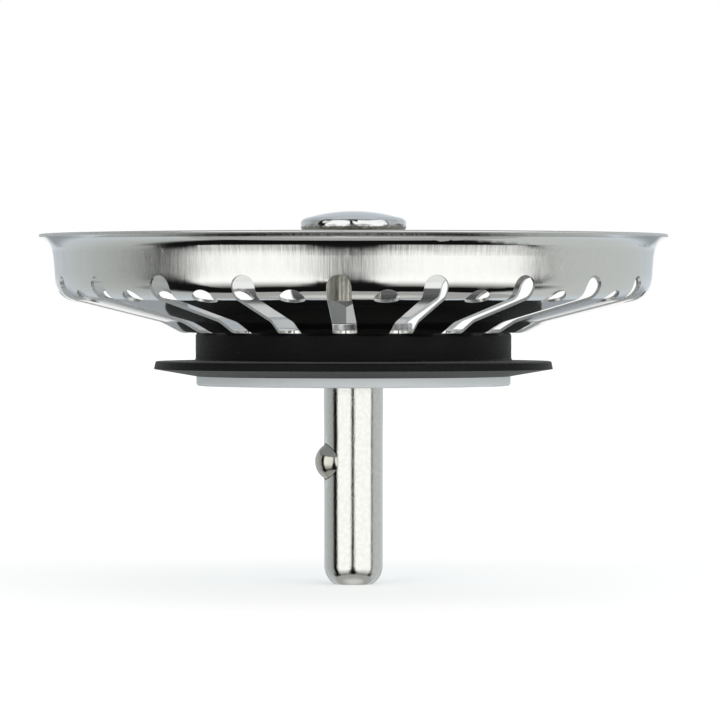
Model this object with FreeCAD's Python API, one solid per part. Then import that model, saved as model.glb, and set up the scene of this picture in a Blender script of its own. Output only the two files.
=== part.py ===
"""Removable strainer plug of a sink basket strainer waste.

Millimetres. The origin is on the axis, in the plane of the seal's lower outer edge.
+Z points up to the knob, and the detent ball looks along -X.
"""

import FreeCAD, Part
import math
import os

os.makedirs("parts", exist_ok=True)

# Clearances between mating pieces
bore_gap = 0.1
thread_gap = 0.05
ball_gap = 0.1

# Rubber seal
seal_r = 25.4
seal_edge_draw = 0.2
seal_edge_height = 1.0
seal_edge_round = 0.25
seal_drop = 0.92
collar_r = 20.1
collar_height = 4.62
collar_round = 0.4
collar_root_round = 0.3
flange_rise = 0.12

# Backing washer under the seal
backing_r = 20.0
backing_thickness = 1.2
backing_round = 0.35

# Pressed basket, given on its outer and under side
sheet = 0.38
floor_r = 22.1
floor_round = 1.85
bend_r = 24.82
bend_height = 1.4
bend_round = 3.9
cone_slope = 13.73
shoulder_r = 37.78
shoulder_round = 2.8
wall_draft = 4.1
throat_slope = 68.0
throat_round = 4.3
lip_slope = 31.0
lip_drop = 0.72
lip_round = 2.18
rim_r = 40.0
rim_height = 12.16

# Long slots and round holes through the basket
slot_count = 20
slot_width = 3.0
slot_inner_r = 20.9
slot_top_below_rim = 5.01
hole_r = 1.58
hole_centre_r = 36.2
hole_above_corner = -0.06
hole_tilt = 58.0

# Clamp washer and spindle
washer_r = 7.5
washer_thickness = 0.85
hex_across_flats = 10.0
hex_height = 2.8
hex_chamfer_slope = 45.0
hex_turn = 5.6
stem_r = 3.5
socket_depth = 6.0
socket_chamfer = 0.4
spigot_r = 2.0
spigot_length = 1.3
spigot_chamfer = 0.25

# Knob
knob_r = 6.72
knob_height = 2.56
knob_above_rim = 0.82
dome_r = 21.0
knob_top_round = 0.7
knob_under_round = 0.5

# Guide post, a little wider where the waste's cross bar holds it
post_r = 3.75
post_length = 25.28
land_r = 3.8
land_length = 2.9
land_taper = 3.8
nose_round = 2.8
nose_flat_r = 2.42
tenon_r = 2.5
tenon_chamfer = 0.4
tenon_end_gap = 0.5

# Detent ball and its spring in the cross bore
ball_r = 2.5
ball_below_post_top = 9.65
ball_out = 1.25
ball_bore_end = 0.5
spot_face_r = 3.4
spot_face_depth = 0.08
spring_bore_r = 2.0
spring_bore_end = 2.6
spring_wire = 0.36
spring_side_gap = 0.14
spring_half_turns = 7

# Heights of the clamped stack
seal_bottom = -seal_drop
backing_bottom = seal_bottom - backing_thickness
floor_under = collar_height
floor_top = floor_under + sheet
washer_top = floor_top + washer_thickness
hex_top = washer_top + hex_height
rim_z = floor_under + rim_height
knob_bottom = rim_z + knob_above_rim
knob_top = knob_bottom + knob_height
socket_top = washer_top + socket_depth
tenon_top = socket_top - tenon_end_gap
post_top = backing_bottom
post_tip = post_top - post_length
land_bottom = post_top - land_length
ball_z = post_top - ball_below_post_top
ball_x = -(post_r + ball_out - ball_r)

X = FreeCAD.Vector(1, 0, 0)
Y = FreeCAD.Vector(0, 1, 0)
Z = FreeCAD.Vector(0, 0, 1)
ORIGIN = FreeCAD.Vector(0, 0, 0)


def at(r, z):
    return FreeCAD.Vector(r, 0, z)


def rounded_edges(corners):
    """Edges of a closed outline, from (radius, height, rounding) corners.

    Two roundings that would meet on a short stretch share its length.
    """
    points = [at(r, z) for r, z, _ in corners]
    following = points[1:] + points[:1]
    ways = [(end - start).normalize() for start, end in zip(points, following)]
    halves = [(-ways[i - 1]).getAngle(ways[i]) / 2 for i in range(len(points))]
    wanted = [corner[2] / math.tan(half) for corner, half in zip(corners, halves)]
    room = []
    for i, start in enumerate(points):
        both = wanted[i] + wanted[(i + 1) % len(points)]
        room.append(min(1, start.distanceToPoint(following[i]) / both) if both > 0 else 1)
    stretches = []
    for i, here in enumerate(points):
        reach = wanted[i] * min(room[i - 1], room[i])
        if reach == 0:
            stretches.append((here, None, here))
            continue
        rounding = reach * math.tan(halves[i])
        bisector = (ways[i] - ways[i - 1]).normalize()
        middle = here + bisector * (rounding / math.sin(halves[i]) - rounding)
        stretches.append((here - ways[i - 1] * reach, middle, here + ways[i] * reach))
    edges = []
    for i, (start, middle, end) in enumerate(stretches):
        if middle is not None:
            edges.append(Part.Arc(start, middle, end).toShape())
        next_start = stretches[(i + 1) % len(stretches)][0]
        if end.distanceToPoint(next_start) > 1e-6:
            edges.append(Part.makeLine(end, next_start))
    return edges


def turned(edges):
    """Solid of revolution about the Z axis from a closed outline."""
    face = Part.Face(Part.Wire(edges))
    return face.revolve(ORIGIN, Z, 360)


def turned_corners(corners):
    return turned(rounded_edges(corners))


def crossing(p, a, q, b):
    """Point where the line through p along a meets the line through q along b."""
    across = a.x * b.z - a.z * b.x
    along = ((q.x - p.x) * b.z - (q.z - p.z) * b.x) / across
    return p + a * along


def offset_line(points, distance):
    """Corners of an open line moved sideways, to the left of its direction."""
    ways = [(points[i + 1] - points[i]).normalize() for i in range(len(points) - 1)]
    sides = [at(-w.z, w.x) * distance for w in ways]
    moved = [points[0] + sides[0]]
    for i in range(1, len(points) - 1):
        moved.append(crossing(points[i] + sides[i - 1], ways[i - 1], points[i] + sides[i], ways[i]))
    moved.append(points[-1] + sides[-1])
    return moved


def radial(shape, degrees):
    copy = shape.copy()
    copy.rotate(ORIGIN, Z, degrees)
    return copy


def make_basket():
    """Pressed bowl of one sheet thickness, then its slots and holes."""
    cone = math.radians(cone_slope)
    lip = math.radians(lip_slope)
    throat = math.radians(throat_slope)
    draft = math.radians(wall_draft)
    bend = at(bend_r, floor_under + bend_height)
    shoulder_z = bend.z + (shoulder_r - bend_r) * math.tan(cone)
    shoulder = at(shoulder_r, shoulder_z)
    rim = at(rim_r - sheet / 2 * (1 - math.sin(lip)), rim_z)
    lip_root = rim - at(lip_drop / math.tan(lip), lip_drop)
    wall_way = at(math.sin(draft), math.cos(draft))
    wall_top = crossing(shoulder, wall_way, lip_root, at(math.cos(throat), math.sin(throat)))
    hole_edge = at(tenon_r + bore_gap, floor_under)
    under = [hole_edge, at(floor_r, floor_under), bend, shoulder, wall_top, lip_root, rim]
    inside = offset_line(under, sheet)
    under_rounds = [0, floor_round, bend_round, shoulder_round, throat_round, lip_round, 0]
    # Inside the bowl a rounding is wider by the sheet where it bulges, and tighter where it is hollow
    bulges = [0, -1, 1, -1, 1, 1, 0]
    corners = [(p.x, p.z, r) for p, r in zip(under, under_rounds)]
    inside_rounds = [r + side * sheet for r, side in zip(under_rounds, bulges)]
    corners += [(p.x, p.z, r) for p, r in reversed(list(zip(inside, inside_rounds)))]
    edges = rounded_edges(corners)
    rim_line = min(edges, key=lambda e: e.CenterOfMass.distanceToPoint((under[-1] + inside[-1]) * 0.5))
    tip = (under[-1] + inside[-1]) * 0.5 + at(math.cos(lip), math.sin(lip)) * (sheet / 2)
    edges[edges.index(rim_line)] = Part.Arc(under[-1], tip, inside[-1]).toShape()
    bowl = turned(edges)

    half = slot_width / 2
    slot_z = rim_z - slot_top_below_rim - half
    below = floor_under - sheet
    long_way = rim_r - slot_inner_r
    channel = Part.makeBox(long_way, slot_width, slot_z - below, FreeCAD.Vector(slot_inner_r, -half, below))
    inner_end = Part.makeCylinder(half, slot_z - below, FreeCAD.Vector(slot_inner_r, 0, below), Z)
    round_top = Part.makeCylinder(half, rim_r / 4, FreeCAD.Vector(rim_r * 3 / 4, 0, slot_z), X)
    slot = channel.fuse([inner_end, round_top]).removeSplitter()
    tilt = math.radians(hole_tilt)
    inward = at(-math.cos(tilt), math.sin(tilt))
    hole_centre = at(hole_centre_r, shoulder_z + hole_above_corner)
    hole = Part.makeCylinder(hole_r, 4 * hole_r, hole_centre - inward * 2 * hole_r, inward)
    step = 360 / slot_count
    tools = [radial(slot, i * step) for i in range(slot_count)]
    tools += [radial(hole, (i + 0.5) * step) for i in range(slot_count)]
    return bowl.cut(tools)


def make_rubber_seal():
    flange_z = seal_edge_height + flange_rise
    return turned_corners(
        [
            (tenon_r + bore_gap, seal_bottom, 0),
            (backing_r, seal_bottom, 0),
            (seal_r, 0, 0),
            (seal_r - seal_edge_draw, seal_edge_height, seal_edge_round),
            (collar_r, flange_z, collar_root_round),
            (collar_r, collar_height, collar_round),
            (tenon_r + bore_gap, collar_height, 0),
        ]
    )


def make_backing_washer():
    return turned_corners(
        [
            (tenon_r + bore_gap, backing_bottom, 0),
            (backing_r, backing_bottom, backing_round),
            (backing_r, seal_bottom, 0),
            (tenon_r + bore_gap, seal_bottom, 0),
        ]
    )


def make_clamp_washer():
    return turned_corners(
        [
            (tenon_r + bore_gap, floor_top, 0),
            (washer_r, floor_top, 0),
            (washer_r, washer_top, washer_thickness / 4),
            (tenon_r + bore_gap, washer_top, 0),
        ]
    )


def make_spindle():
    """Stem with a chamfered hexagonal foot, a socket below and a spigot above."""
    corner_r = hex_across_flats / math.sqrt(3)
    ring = [radial(Part.Vertex(at(corner_r, washer_top)), hex_turn + 60 * i).Point for i in range(6)]
    foot = Part.Face(Part.makePolygon(ring + ring[:1])).extrude(Z * hex_height)
    flat_r = hex_across_flats / 2
    drop = (corner_r - flat_r) * math.tan(math.radians(hex_chamfer_slope))
    crown = turned_corners(
        [
            (0, washer_top, 0),
            (corner_r, washer_top, 0),
            (corner_r, hex_top - drop, 0),
            (flat_r, hex_top, 0),
            (0, hex_top, 0),
        ]
    )
    stem = Part.makeCylinder(stem_r, knob_bottom - washer_top, at(0, washer_top), Z)
    spigot = turned_corners(
        [
            (0, knob_bottom - spigot_length, 0),
            (spigot_r, knob_bottom - spigot_length, 0),
            (spigot_r, knob_bottom + spigot_length - spigot_chamfer, 0),
            (spigot_r - spigot_chamfer, knob_bottom + spigot_length, 0),
            (0, knob_bottom + spigot_length, 0),
        ]
    )
    socket_r = tenon_r + thread_gap
    socket = turned_corners(
        [
            (0, washer_top, 0),
            (socket_r + socket_chamfer, washer_top, 0),
            (socket_r, washer_top + socket_chamfer, 0),
            (socket_r, socket_top, 0),
            (0, socket_top, 0),
        ]
    )
    return foot.common(crown).fuse([stem, spigot]).removeSplitter().cut(socket)


def make_knob():
    """Domed button with rounded edges and a blind bore for the spigot."""
    dome_z = knob_top - dome_r
    round_r = knob_r - knob_top_round
    round_z = dome_z + math.sqrt((dome_r - knob_top_round) ** 2 - round_r**2)
    lean = math.atan2(round_z - dome_z, round_r)
    steep = (math.pi / 2 + lean) / 2
    dome_edge = at(dome_r * math.cos(lean), dome_z + dome_r * math.sin(lean))
    dome_half = at(dome_r * math.cos(steep), dome_z + dome_r * math.sin(steep))
    round_half = at(
        round_r + knob_top_round * math.cos(lean / 2),
        round_z + knob_top_round * math.sin(lean / 2),
    )
    under_r = knob_r - knob_under_round
    under_z = knob_bottom + knob_under_round
    under_half = at(
        under_r + knob_under_round * math.sqrt(0.5),
        under_z - knob_under_round * math.sqrt(0.5),
    )
    outline = [
        Part.makeLine(at(0, knob_bottom), at(under_r, knob_bottom)),
        Part.Arc(at(under_r, knob_bottom), under_half, at(knob_r, under_z)).toShape(),
        Part.makeLine(at(knob_r, under_z), at(knob_r, round_z)),
        Part.Arc(at(knob_r, round_z), round_half, dome_edge).toShape(),
        Part.Arc(dome_edge, dome_half, at(0, knob_top)).toShape(),
        Part.makeLine(at(0, knob_top), at(0, knob_bottom)),
    ]
    bore = Part.makeCylinder(spigot_r + thread_gap, spigot_length + thread_gap, at(0, knob_bottom), Z)
    return turned(outline).cut(bore)


def make_guide_post():
    """Post with a guide land under the washer, a tenon above and a cross bore for the ball."""
    nose_centre_r = post_r - nose_round
    nose_turn = math.acos((nose_flat_r - nose_centre_r) / nose_round)
    nose_z = post_tip + nose_round * math.sin(nose_turn)
    nose_half = at(
        nose_centre_r + nose_round * math.cos(nose_turn / 2),
        nose_z - nose_round * math.sin(nose_turn / 2),
    )
    outline = [
        Part.makeLine(at(0, post_tip), at(nose_flat_r, post_tip)),
        Part.Arc(at(nose_flat_r, post_tip), nose_half, at(post_r, nose_z)).toShape(),
        Part.makeLine(at(post_r, nose_z), at(post_r, land_bottom - land_taper)),
        Part.makeLine(at(post_r, land_bottom - land_taper), at(land_r, land_bottom)),
        Part.makeLine(at(land_r, land_bottom), at(land_r, post_top)),
        Part.makeLine(at(land_r, post_top), at(tenon_r, post_top)),
        Part.makeLine(at(tenon_r, post_top), at(tenon_r, tenon_top - tenon_chamfer)),
        Part.makeLine(at(tenon_r, tenon_top - tenon_chamfer), at(tenon_r - tenon_chamfer, tenon_top)),
        Part.makeLine(at(tenon_r - tenon_chamfer, tenon_top), at(0, tenon_top)),
        Part.makeLine(at(0, tenon_top), at(0, post_tip)),
    ]
    start = FreeCAD.Vector(ball_x, 0, ball_z)
    pocket_r = ball_r + ball_gap
    pocket = Part.makeSphere(pocket_r, start)
    ball_bore = Part.makeCylinder(pocket_r, ball_bore_end - ball_x, start, X)
    spring_bore = Part.makeCylinder(spring_bore_r, spring_bore_end - ball_x, start, X)
    face_start = FreeCAD.Vector(spot_face_depth - 2 * post_r, 0, ball_z)
    spot_face = Part.makeCylinder(spot_face_r, post_r, face_start, X)
    return turned(outline).cut([pocket, ball_bore, spring_bore, spot_face])


def make_detent_ball():
    return Part.makeSphere(ball_r, FreeCAD.Vector(ball_x, 0, ball_z))


def make_detent_spring():
    """Compression spring from the bore's end to the ball, as half turns that lean to and fro."""
    wire_r = spring_wire / 2
    coil_r = spring_bore_r - spring_side_gap - wire_r
    ball_reach = math.sqrt((ball_r + wire_r) ** 2 - coil_r**2)
    first = ball_x + ball_reach
    rise = (spring_bore_end - wire_r - first) / spring_half_turns
    lean = math.degrees(math.atan2(rise, 2 * coil_r))
    half_r = math.hypot(coil_r, rise / 2)
    coil = []
    for i in range(spring_half_turns):
        circle = Part.Face(Part.Wire(Part.makeCircle(wire_r, FreeCAD.Vector(half_r, 0, 0), Y)))
        half = circle.revolve(ORIGIN, Z, 180)
        half.rotate(ORIGIN, Y, lean)
        half.rotate(ORIGIN, Z, 180 * i)
        half.translate(Z * (rise * (i + 0.5)))
        coil.append(half)
    spring = coil[0].fuse(coil[1:])
    spring.rotate(ORIGIN, Y, 90)
    spring.translate(FreeCAD.Vector(first, 0, ball_z))
    return spring


pieces = {
    "basket": make_basket(),
    "knob": make_knob(),
    "spindle": make_spindle(),
    "clamp_washer": make_clamp_washer(),
    "rubber_seal": make_rubber_seal(),
    "backing_washer": make_backing_washer(),
    "guide_post": make_guide_post(),
    "detent_ball": make_detent_ball(),
    "detent_spring": make_detent_spring(),
}

for name, shape in pieces.items():
    if len(shape.Solids) == 1:
        shape = shape.Solids[0]
    shape.exportStep(os.path.join("parts", name + ".step"))
    print(name, shape.isValid(), len(shape.Faces), round(shape.Volume, 2))
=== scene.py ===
"""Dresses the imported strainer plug: materials, a pale studio and the photo's camera. Metres."""

import bpy
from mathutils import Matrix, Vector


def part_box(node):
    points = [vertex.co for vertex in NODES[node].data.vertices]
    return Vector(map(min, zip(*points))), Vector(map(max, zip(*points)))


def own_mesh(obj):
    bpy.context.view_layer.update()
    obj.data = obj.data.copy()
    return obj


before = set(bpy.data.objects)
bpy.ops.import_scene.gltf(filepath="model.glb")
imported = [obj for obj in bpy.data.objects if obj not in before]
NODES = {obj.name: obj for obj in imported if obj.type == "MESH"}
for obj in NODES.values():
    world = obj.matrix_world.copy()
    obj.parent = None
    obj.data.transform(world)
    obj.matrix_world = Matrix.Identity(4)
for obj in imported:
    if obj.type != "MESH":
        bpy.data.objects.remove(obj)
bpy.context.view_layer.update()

import bpy
import math
from mathutils import Vector

MM = 0.001
UP = (0, 0, 1)

# Camera, from the photo: 720 pixels across, 7.85 pixels a millimetre at the plug's axis
VIEW_AZIMUTH = math.radians(-15.4)
PIXELS = 720
PIXELS_PER_MM = 7.85
CAMERA_DISTANCE = 624 * MM
EYE_HEIGHT = 8.4 * MM
AXIS_PIXEL_X = 353.5
HORIZON_PIXEL_Y = 303.0
SENSOR = 36.0
CLIP_START = 0.01
CLIP_END = 20.0

TO_CAMERA = Vector((math.sin(VIEW_AZIMUTH), -math.cos(VIEW_AZIMUTH), 0))
TO_RIGHT = Vector((math.cos(VIEW_AZIMUTH), math.sin(VIEW_AZIMUTH), 0))

# Heights between which one finish gives way to the next, the band of a painted dark reflection below
# the rim, and the radius where the stem meets its foot
WALL_FOOT = (10.2 * MM, 12.4 * MM)
DRAWN_WALL = (12.2 * MM, 15.5 * MM)
LIP_FOOT = (14.7 * MM, 15.5 * MM)
DARK_REFLECTION_LINE = (16.42 * MM, 16.58 * MM)
SHEARED_RIM = (16.70 * MM, 16.78 * MM)
KNOB_UNDERSIDE = (18.05 * MM, 18.25 * MM)
KNOB_DOME = (18.9 * MM, 19.2 * MM)
STEM_EDGE = (3.55 * MM, 3.65 * MM)

# The studio that the photo's metal reflects, in degrees: turn to the camera's right, rise above level.
# NEAR is the cosine of the angle to the camera.
FULL_TURN = (-180, 180)
ROOM_TONES = [
    (-180, (0.70, 0.76, 0.81)),
    (-150, (0.66, 0.71, 0.75)),
    (-128, (0.61, 0.64, 0.64)),
    (-106, (0.53, 0.55, 0.53)),
    (-90, (0.44, 0.45, 0.44)),
    (-60, (0.40, 0.41, 0.40)),
    (76, (0.60, 0.62, 0.60)),
    (104, (0.66, 0.68, 0.66)),
    (136, (0.67, 0.70, 0.70)),
    (156, (0.70, 0.76, 0.81)),
]
LOW_BACK_RISE = (-28.0, -9.0)
LOW_BACK_NEAR = (-0.94, -0.8)
HIGH_WALL_RISE = (8.0, 40.0)
CEILING_RISE = (44.0, 70.0)
OVERHEAD_RISE = (48.0, 62.0)
OVERHEAD_NEAR = (-0.45, -0.3)
FRAME_TURN = (-85.0, 79.0)
FRAME_TOP = (50.0, 62.0)
GROUND_TURN = (-98.0, 92.0)
GROUND_TOP = (-36.0, -24.0)
PANEL_TURN = (-65.0, 73.0)
PANEL_TOP = (44.0, 55.0)
PANEL_FADE = (-47.0, -15.0)
GAP_MIDDLE = -2.6
GAP_RISE = (-46.0, -6.0)
GAP_KNEE_RISE = (-7.0, -2.5)
GAP_SOFT_RISE = (-46.0, -4.0)
BACKDROP_NEAR = (-0.985, -0.97)
OVERHEAD_LIGHT = (0.85, 0.86, 0.86, 1)
PANEL_LIGHT = (1.40, 1.40, 1.37, 1)
DIFFUSE_LEVEL = 2.1

FLOOR_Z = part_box("guide_post")[0].z
FLOOR_REACH = 3.0
FLOOR_GLOW = 0.28

# Pale round card under the plug, from the dark and pale bands in the lip and the post's tip
CARD_RADIUS = 74 * MM
CARD_DROP = 67 * MM
CARD_SIDES = 96
CARD_FADE = (10 * MM, 45 * MM)
CARD_GLOW = (0.82, 0.48)


def put(tree, value, socket):
    """Links a socket to another one, or sets it to a plain value."""
    if isinstance(value, bpy.types.NodeSocket):
        tree.links.new(value, socket)
    else:
        socket.default_value = value


def fill(tree, node, inputs):
    for key, value in inputs.items():
        put(tree, value, node.inputs[key])


def add(tree, kind, inputs=None, **settings):
    """A new node with its settings, and its inputs set or linked."""
    node = tree.nodes.new(kind)
    for key, value in settings.items():
        setattr(node, key, value)
    fill(tree, node, inputs or {})
    return node


def calc(tree, operation, *values):
    return add(tree, "ShaderNodeMath", dict(enumerate(values)), operation=operation).outputs[0]


def plus(tree, a, b):
    return calc(tree, "ADD", a, b)


def times(tree, a, b):
    return calc(tree, "MULTIPLY", a, b)


def vector_node(tree, operation, *values):
    return add(tree, "ShaderNodeVectorMath", dict(enumerate(values)), operation=operation)


def dot(tree, a, b):
    return vector_node(tree, "DOT_PRODUCT", a, b).outputs["Value"]


def ramp(tree, value, low, high, start=0.0, end=1.0):
    """Smooth step from start at low to end at high."""
    inputs = {"Value": value, "From Min": low, "From Max": high, "To Min": start, "To Max": end}
    return add(tree, "ShaderNodeMapRange", inputs, interpolation_type="SMOOTHSTEP").outputs[0]


def slope(tree, value, low, high):
    """Straight rise from 0 at low to 1 at high."""
    inputs = {"Value": value, "From Min": low, "From Max": high}
    return add(tree, "ShaderNodeMapRange", inputs).outputs[0]


def band(tree, value, low, high, soft_low, soft_high=None):
    """1 between low and high, with ends that are soft by the same amount unless both are given."""
    soft_high = soft_low if soft_high is None else soft_high
    rise = ramp(tree, value, low - soft_low, low + soft_low)
    fall = ramp(tree, value, high - soft_high, high + soft_high, start=1.0, end=0.0)
    return times(tree, rise, fall)


def grey(value):
    return (value, value, value, 1.0)


def mix_colour(tree, factor, a, b):
    node = add(tree, "ShaderNodeMix", data_type="RGBA")
    for key, value in (("Factor", factor), ("A", a), ("B", b)):
        put(tree, value, next(s for s in node.inputs if s.name == key and s.enabled))
    return next(s for s in node.outputs if s.enabled)


def stops(tree, value, low, high, colours):
    """Colour along a value, from pairs of the value and a colour."""
    node = add(tree, "ShaderNodeValToRGB", {0: slope(tree, value, low, high)})
    slots = node.color_ramp.elements
    slots.remove(slots[1])
    for i, (at, colour) in enumerate(colours):
        slot = slots.new((at - low) / (high - low)) if i else slots[0]
        slot.color = (*colour, 1)
    return node.outputs["Color"]


def noise(tree, vector, scale, detail=2.0, roughness=0.5):
    inputs = {"Vector": vector, "Scale": scale, "Detail": detail, "Roughness": roughness}
    return add(tree, "ShaderNodeTexNoise", inputs).outputs["Fac"]


def bump(tree, height, distance, normal=None):
    inputs = {"Height": height, "Distance": distance, "Strength": 1.0}
    if normal is not None:
        inputs["Normal"] = normal
    return add(tree, "ShaderNodeBump", inputs).outputs["Normal"]


def rounded(tree, radius, samples):
    """Normals that round the edges over a radius."""
    return add(tree, "ShaderNodeBevel", {"Radius": radius}, samples=samples).outputs[0]


def new_material(name):
    """An empty material with its shader and its place on the plug as sockets."""
    material = bpy.data.materials.new(name)
    material.use_nodes = True
    tree = material.node_tree
    tree.nodes.clear()
    shader = add(tree, "ShaderNodeBsdfPrincipled")
    add(tree, "ShaderNodeOutputMaterial", {"Surface": shader.outputs[0]})
    place = add(tree, "ShaderNodeTexCoord").outputs["Object"]
    return material, tree, shader, place


def split(tree, place):
    return add(tree, "ShaderNodeSeparateXYZ", {0: place}).outputs


def axis_distance(tree, place):
    x, y, _ = split(tree, place)
    return calc(tree, "SQRT", plus(tree, times(tree, x, x), times(tree, y, y)))


def wrapped(tree, place, stretch):
    """Direction from the axis, of length 1, with the stretched height: for marks that go round it."""
    x, y, z = split(tree, place)
    radius = axis_distance(tree, place)
    inputs = {
        0: calc(tree, "DIVIDE", x, radius),
        1: calc(tree, "DIVIDE", y, radius),
        2: times(tree, z, stretch),
    }
    return add(tree, "ShaderNodeCombineXYZ", inputs).outputs[0]


def facing_out(tree, place):
    """How far a face looks away from the axis, less how far it looks up."""
    normal = add(tree, "ShaderNodeTexCoord").outputs["Normal"]
    level = vector_node(tree, "MULTIPLY", place, (1, 1, 0)).outputs[0]
    outward = vector_node(tree, "NORMALIZE", level).outputs[0]
    return calc(tree, "SUBTRACT", dot(tree, normal, outward), dot(tree, normal, UP))


def pressed_steel():
    """Bright stainless sheet: mirror cone and lip, satin wall with upright marks, dull inside."""
    material, tree, shader, place = new_material("pressed_stainless")
    z = split(tree, place)[2]
    outward = facing_out(tree, place)
    outside = ramp(tree, outward, -0.2, 0.2)
    cut_edge = band(tree, outward, -0.5, 0.5, soft_low=0.12)
    sheared = ramp(tree, z, *SHEARED_RIM)
    wall = times(tree, ramp(tree, z, *WALL_FOOT), ramp(tree, z, *LIP_FOOT, start=1.0, end=0.0))
    satin = times(tree, wall, outside)

    fine = noise(tree, wrapped(tree, place, stretch=1.5), scale=220.0, detail=3.0, roughness=0.65)
    broad = noise(tree, wrapped(tree, place, stretch=5.0), scale=40.0)
    streak = plus(tree, times(tree, fine, 0.7), times(tree, broad, 0.5))
    grain = noise(tree, place, scale=2500.0)

    mirror_rough, sheared_rough, cut_rough = 0.06, 0.3, 0.18
    worn = times(tree, ramp(tree, streak, 0.35, 0.85, start=0.12, end=0.22), satin)
    inside = ramp(tree, outside, 0.0, 1.0, start=0.12, end=0.0)
    rough = plus(tree, plus(tree, worn, inside), mirror_rough)
    rough = plus(tree, rough, times(tree, sheared, sheared_rough))
    rough = plus(tree, rough, times(tree, cut_edge, cut_rough))

    dark, light = (0.69, 0.695, 0.68, 1), (0.74, 0.745, 0.73, 1)
    inside_tone, dark_reflection_tone = (0.60, 0.61, 0.61, 1), (0.25, 0.25, 0.24, 1)
    tone = mix_colour(tree, outside, inside_tone, mix_colour(tree, grain, dark, light))
    # A thin dark line painted round the outside just below the rim: a painted reflection of the dark
    # studio in front
    painted_dark_reflection = times(tree, band(tree, z, *DARK_REFLECTION_LINE, soft_low=0.06 * MM), outside)
    tone = mix_colour(tree, times(tree, painted_dark_reflection, 0.15), tone, dark_reflection_tone)

    # Each drawing mark tips the wall's normal up or down a little
    marks = noise(tree, wrapped(tree, place, stretch=0.5), scale=300.0, roughness=0.6)
    drawn_band = band(tree, z, *DRAWN_WALL, soft_low=0.8 * MM, soft_high=0.2 * MM)
    drawn = times(tree, drawn_band, outside)
    lean = times(tree, calc(tree, "SUBTRACT", marks, 0.5), times(tree, drawn, 0.28))
    tip = add(tree, "ShaderNodeCombineXYZ", {2: lean}).outputs[0]
    tipped = vector_node(tree, "ADD", rounded(tree, 0.06 * MM, samples=4), tip).outputs[0]
    normal = vector_node(tree, "NORMALIZE", tipped).outputs[0]
    torn = times(tree, grain, times(tree, sheared, 0.4))
    relief = plus(tree, times(tree, streak, satin), torn)
    round_axis = add(tree, "ShaderNodeTangent", direction_type="RADIAL", axis="Z").outputs[0]
    inputs = {
        "Base Color": tone,
        "Metallic": 1.0,
        "Roughness": rough,
        "Anisotropic": 0.6,
        "Tangent": round_axis,
        "Normal": bump(tree, relief, 0.012 * MM, normal),
    }
    fill(tree, shader, inputs)
    return material


def chrome_knob():
    """Polished button with a wavy side and a dull, rough casting skin below."""
    material, tree, shader, place = new_material("plated_knob")
    z = split(tree, place)[2]
    under = ramp(tree, z, *KNOB_UNDERSIDE, start=1.0, end=0.0)
    uneven = ramp(tree, z, *KNOB_DOME, start=5.0, end=0.0)
    grain = noise(tree, place, scale=3000.0, roughness=0.6)
    pits = noise(tree, place, scale=3600.0, detail=3.0, roughness=0.65)
    waves = noise(tree, wrapped(tree, place, stretch=300.0), scale=3.2, detail=1.0)
    polished = mix_colour(tree, grain, (0.64, 0.65, 0.66, 1), (0.69, 0.70, 0.71, 1))
    pitted = ramp(tree, pits, 0.4, 0.65)
    dull = mix_colour(tree, pitted, (0.28, 0.27, 0.235, 1), (0.66, 0.64, 0.575, 1))
    height = plus(tree, times(tree, pits, under), times(tree, waves, uneven))
    polished_rough, added_rough = 0.04, 0.16
    inputs = {
        "Base Color": mix_colour(tree, under, polished, dull),
        "Metallic": 1.0,
        "Roughness": plus(tree, times(tree, under, added_rough), polished_rough),
        "Normal": bump(tree, height, 0.05 * MM, rounded(tree, 0.9 * MM, samples=8)),
    }
    fill(tree, shader, inputs)
    return material


def plated(name, light, dark, rough, grain_scale, grain_depth):
    """Plain metal with a fine grained skin, its roughness between two values."""
    material, tree, shader, place = new_material(name)
    grain = noise(tree, place, scale=grain_scale, detail=3.0, roughness=0.6)
    spots = noise(tree, place, scale=grain_scale * 0.37)
    inputs = {
        "Base Color": mix_colour(tree, ramp(tree, spots, 0.35, 0.65), dark, light),
        "Metallic": 1.0,
        "Roughness": ramp(tree, grain, 0.3, 0.7, *rough),
        "Normal": bump(tree, grain, grain_depth),
    }
    fill(tree, shader, inputs)
    return material


def turned_spindle():
    """Dull brownish stem, its darker tone painted shade and reflection from inside the bowl, over a
    brighter, rougher hexagonal foot.
    """
    material, tree, shader, place = new_material("plated_spindle")
    foot = ramp(tree, axis_distance(tree, place), *STEM_EDGE)
    grain = noise(tree, place, scale=2600.0, detail=3.0, roughness=0.6)
    # The stem's darker, brownish tone is painted shade and reflection from inside the bowl; the foot
    # keeps the plain plated tone
    painted_shade_stem_tone = mix_colour(tree, grain, (0.48, 0.455, 0.40, 1), (0.60, 0.575, 0.51, 1))
    foot_tone = mix_colour(tree, grain, (0.66, 0.67, 0.68, 1), (0.74, 0.75, 0.76, 1))
    stem_rough = ramp(tree, grain, 0.3, 0.7, start=0.12, end=0.22)
    inputs = {
        "Base Color": mix_colour(tree, foot, painted_shade_stem_tone, foot_tone),
        "Metallic": 1.0,
        "Roughness": plus(tree, stem_rough, times(tree, foot, 0.16)),
        "Normal": bump(tree, grain, 0.008 * MM),
    }
    fill(tree, shader, inputs)
    return material


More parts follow.
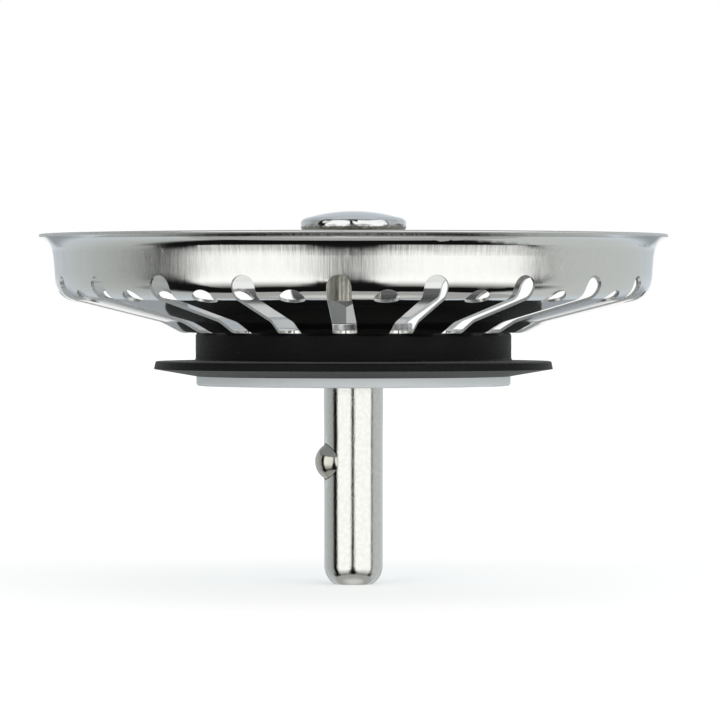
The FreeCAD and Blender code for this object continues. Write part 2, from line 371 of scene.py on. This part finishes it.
def black_rubber():
    """Moulded rubber with faint level mould lines and a little dust."""
    material, tree, shader, place = new_material("moulded_rubber")
    lines = noise(tree, wrapped(tree, place, stretch=600.0), scale=6.0, detail=3.0, roughness=0.7)
    grain = noise(tree, place, scale=4200.0)
    dust = ramp(tree, noise(tree, place, scale=1700.0, detail=1.0), 0.74, 0.80)
    clean = mix_colour(tree, lines, grey(0.002), grey(0.006))
    dust_tone = (0.08, 0.08, 0.075, 1)
    height = plus(tree, times(tree, lines, 0.7), times(tree, grain, 0.3))
    inputs = {
        "Base Color": mix_colour(tree, times(tree, dust, 0.3), clean, dust_tone),
        "Roughness": ramp(tree, grain, 0.3, 0.7, start=0.5, end=0.66),
        "Specular IOR Level": 0.1,
        "Sheen Weight": 0.07,
        "Sheen Roughness": 0.4,
        "Normal": bump(tree, height, 0.02 * MM),
    }
    fill(tree, shader, inputs)
    return material


def white_plastic():
    """Cool, greyish white moulded plastic with a slight mottle."""
    material, tree, shader, place = new_material("moulded_white")
    mottle = noise(tree, place, scale=260.0, detail=3.0)
    grain = noise(tree, place, scale=3800.0)
    inputs = {
        "Base Color": mix_colour(tree, mottle, (0.48, 0.51, 0.53, 1), (0.49, 0.52, 0.539, 1)),
        "Roughness": ramp(tree, grain, 0.3, 0.7, start=0.4, end=0.55),
        "Normal": bump(tree, grain, 0.006 * MM),
    }
    fill(tree, shader, inputs)
    return material


def stamped_washer():
    return plated("stamped_washer", grey(0.62), grey(0.54), (0.14, 0.26), 2200.0, 0.008 * MM)


def plated_post():
    light, dark = (0.69, 0.69, 0.67, 1), (0.66, 0.66, 0.64, 1)
    return plated("plated_post", light, dark, (0.05, 0.11), 5000.0, 0.013 * MM)


def ball_steel():
    # Steel grey, warmed and darkened as a painted reflection of the dark seal and washer above
    light, dark = (0.57, 0.56, 0.51, 1), (0.52, 0.51, 0.46, 1)
    return plated("ball_steel", light, dark, (0.10, 0.18), 2400.0, 0.003 * MM)


def drawn_wire():
    return plated("drawn_wire", grey(0.5), grey(0.42), (0.2, 0.3), 3000.0, 0.006 * MM)


def dress(node, material):
    mesh = NODES[node].data
    mesh.materials.clear()
    mesh.materials.append(material)


def spring_follows_ball():
    """Gives the spring its own copy of its mesh."""
    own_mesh(NODES["detent_spring"])


def room_light(tree, near, turn, rise):
    """Walls, ceiling and overhead strip, with the dark frames and ground round the panels."""
    wall = stops(tree, turn, *FULL_TURN, ROOM_TONES)
    low_band = band(tree, rise, *LOW_BACK_RISE, soft_low=3.0)
    low_back = times(tree, low_band, ramp(tree, near, *LOW_BACK_NEAR, start=0.5, end=0.0))
    high_wall = ramp(tree, rise, *HIGH_WALL_RISE, end=0.18)
    wall = mix_colour(tree, plus(tree, low_back, high_wall), wall, grey(0.0))
    room = mix_colour(tree, ramp(tree, rise, *CEILING_RISE), wall, grey(0.18))
    behind = ramp(tree, near, *OVERHEAD_NEAR, start=1.0, end=0.0)
    overhead = times(tree, band(tree, rise, *OVERHEAD_RISE, soft_low=3.0), behind)
    room = mix_colour(tree, overhead, room, OVERHEAD_LIGHT)
    frame_height = ramp(tree, rise, *FRAME_TOP, start=1.0, end=0.0)
    frames = times(tree, band(tree, turn, *FRAME_TURN, soft_low=3.0), frame_height)
    ground_height = ramp(tree, rise, *GROUND_TOP, start=1.0, end=0.0)
    ground = times(tree, band(tree, turn, *GROUND_TURN, soft_low=10.0), ground_height)
    return mix_colour(tree, calc(tree, "MAXIMUM", frames, ground), room, grey(0.008))


def panel_share(tree, turn, rise):
    """Two tall panels either side of the camera, with a gap between them that widens downwards."""
    upper = ramp(tree, rise, *PANEL_TOP, start=1.0, end=0.0)
    height = times(tree, upper, slope(tree, rise, *PANEL_FADE))
    sides = band(tree, turn, *PANEL_TURN, soft_low=1.5)
    knee = ramp(tree, rise, *GAP_KNEE_RISE, start=2.7, end=0.0)
    half_gap = plus(tree, ramp(tree, rise, *GAP_RISE, start=17.0, end=5.3), knee)
    soft = ramp(tree, rise, *GAP_SOFT_RISE, start=6.0, end=0.8)
    gap_low = calc(tree, "SUBTRACT", half_gap, soft)
    gap_high = plus(tree, half_gap, soft)
    off_middle = calc(tree, "ABSOLUTE", calc(tree, "SUBTRACT", turn, GAP_MIDDLE))
    beside_gap = ramp(tree, off_middle, gap_low, gap_high)
    return times(tree, times(tree, sides, beside_gap), height)


def studio_world():
    """Pale studio painted by direction, with a white backdrop behind the plug."""
    world = bpy.data.worlds.new("studio")
    bpy.context.scene.world = world
    world.use_nodes = True
    tree = world.node_tree
    tree.nodes.clear()
    way = add(tree, "ShaderNodeTexCoord").outputs["Generated"]
    near = dot(tree, way, TO_CAMERA)
    turn = calc(tree, "DEGREES", calc(tree, "ARCTAN2", dot(tree, way, TO_RIGHT), near))
    rise = calc(tree, "DEGREES", calc(tree, "ARCSINE", dot(tree, way, UP)))
    room = room_light(tree, near, turn, rise)
    studio = mix_colour(tree, panel_share(tree, turn, rise), room, PANEL_LIGHT)
    rays = add(tree, "ShaderNodeLightPath").outputs
    mirrored = calc(tree, "MAXIMUM", rays["Is Glossy Ray"], rays["Is Transmission Ray"])
    backdrop = times(tree, ramp(tree, near, *BACKDROP_NEAR, start=1.0, end=0.0), mirrored)
    white = calc(tree, "MAXIMUM", rays["Is Camera Ray"], backdrop)
    colour = mix_colour(tree, white, studio, grey(1.0))
    strength = ramp(tree, rays["Is Diffuse Ray"], 0.0, 1.0, start=1.0, end=DIFFUSE_LEVEL)
    shader = add(tree, "ShaderNodeBackground", {"Color": colour, "Strength": strength})
    add(tree, "ShaderNodeOutputWorld", {"Surface": shader.outputs[0]})


def flat_piece(name, corners, height):
    """A level face at a height, set aside as part of the stage."""
    mesh = bpy.data.meshes.new(name)
    mesh.from_pydata([(x, y, height) for x, y in corners], [], [tuple(range(len(corners)))])
    piece = bpy.data.objects.new(name, mesh)
    bpy.context.collection.objects.link(piece)
    return piece


def studio_floor():
    """White floor that keeps the plug's soft shadow, out of sight of the metal and clear from below."""
    signs = [(-1, -1), (1, -1), (1, 1), (-1, 1)]
    floor = flat_piece("floor", [(FLOOR_REACH * x, FLOOR_REACH * y) for x, y in signs], FLOOR_Z)
    floor.visible_glossy = False
    floor.visible_diffuse = False
    material, tree, shader, place = new_material("floor_white")
    seen = add(tree, "ShaderNodeLightPath").outputs["Is Camera Ray"]
    inputs = {
        "Base Color": mix_colour(tree, noise(tree, place, scale=40.0), grey(0.80), grey(0.82)),
        "Roughness": 0.9,
        "Specular IOR Level": 0.0,
        "Emission Color": grey(1.0),
        "Emission Strength": ramp(tree, seen, 0.0, 1.0, end=FLOOR_GLOW),
    }
    fill(tree, shader, inputs)
    from_below = add(tree, "ShaderNodeNewGeometry").outputs["Backfacing"]
    clear = add(tree, "ShaderNodeBsdfTransparent").outputs[0]
    surface = add(tree, "ShaderNodeMixShader", {0: from_below, 1: shader.outputs[0], 2: clear})
    out = next(node for node in tree.nodes if node.type == "OUTPUT_MATERIAL")
    fill(tree, out, {"Surface": surface.outputs[0]})
    floor.data.materials.append(material)


def bounce_card():
    """Pale glowing card well below the plug, hidden from the camera and from shadows."""
    turns = [math.radians(i * 360 / CARD_SIDES) for i in range(CARD_SIDES)]
    edge = [(CARD_RADIUS * math.cos(turn), CARD_RADIUS * math.sin(turn)) for turn in turns]
    card = flat_piece("bounce_card", edge, FLOOR_Z - CARD_DROP)
    card.visible_camera = False
    card.visible_shadow = False
    material, tree, shader, place = new_material("card_pale")
    inputs = {
        "Base Color": grey(0.0),
        "Specular IOR Level": 0.0,
        "Emission Color": (1.0, 1.0, 0.98, 1),
        "Emission Strength": ramp(tree, axis_distance(tree, place), *CARD_FADE, *CARD_GLOW),
    }
    fill(tree, shader, inputs)
    card.data.materials.append(material)


def photo_camera():
    data = bpy.data.cameras.new("camera")
    data.sensor_width = SENSOR
    data.lens = CAMERA_DISTANCE / MM * PIXELS_PER_MM / PIXELS * SENSOR
    data.clip_start = CLIP_START
    data.clip_end = CLIP_END
    camera = bpy.data.objects.new("camera", data)
    bpy.context.collection.objects.link(camera)
    aside = (PIXELS / 2 - AXIS_PIXEL_X) / PIXELS_PER_MM * MM
    drop = (PIXELS / 2 - HORIZON_PIXEL_Y) / PIXELS_PER_MM * MM
    camera.location = TO_CAMERA * CAMERA_DISTANCE + TO_RIGHT * aside + Vector((0, 0, EYE_HEIGHT))
    target = TO_RIGHT * aside + Vector((0, 0, EYE_HEIGHT - drop))
    camera.rotation_euler = (target - camera.location).to_track_quat("-Z", "Y").to_euler()
    bpy.context.scene.camera = camera


dress("basket", pressed_steel())
dress("knob", chrome_knob())
dress("spindle", turned_spindle())
dress("clamp_washer", stamped_washer())
dress("rubber_seal", black_rubber())
dress("backing_washer", white_plastic())
dress("guide_post", plated_post())
dress("detent_ball", ball_steel())
dress("detent_spring", drawn_wire())

spring_follows_ball()
studio_world()
studio_floor()
bounce_card()
photo_camera()

bpy.context.scene.view_settings.view_transform = "Standard"
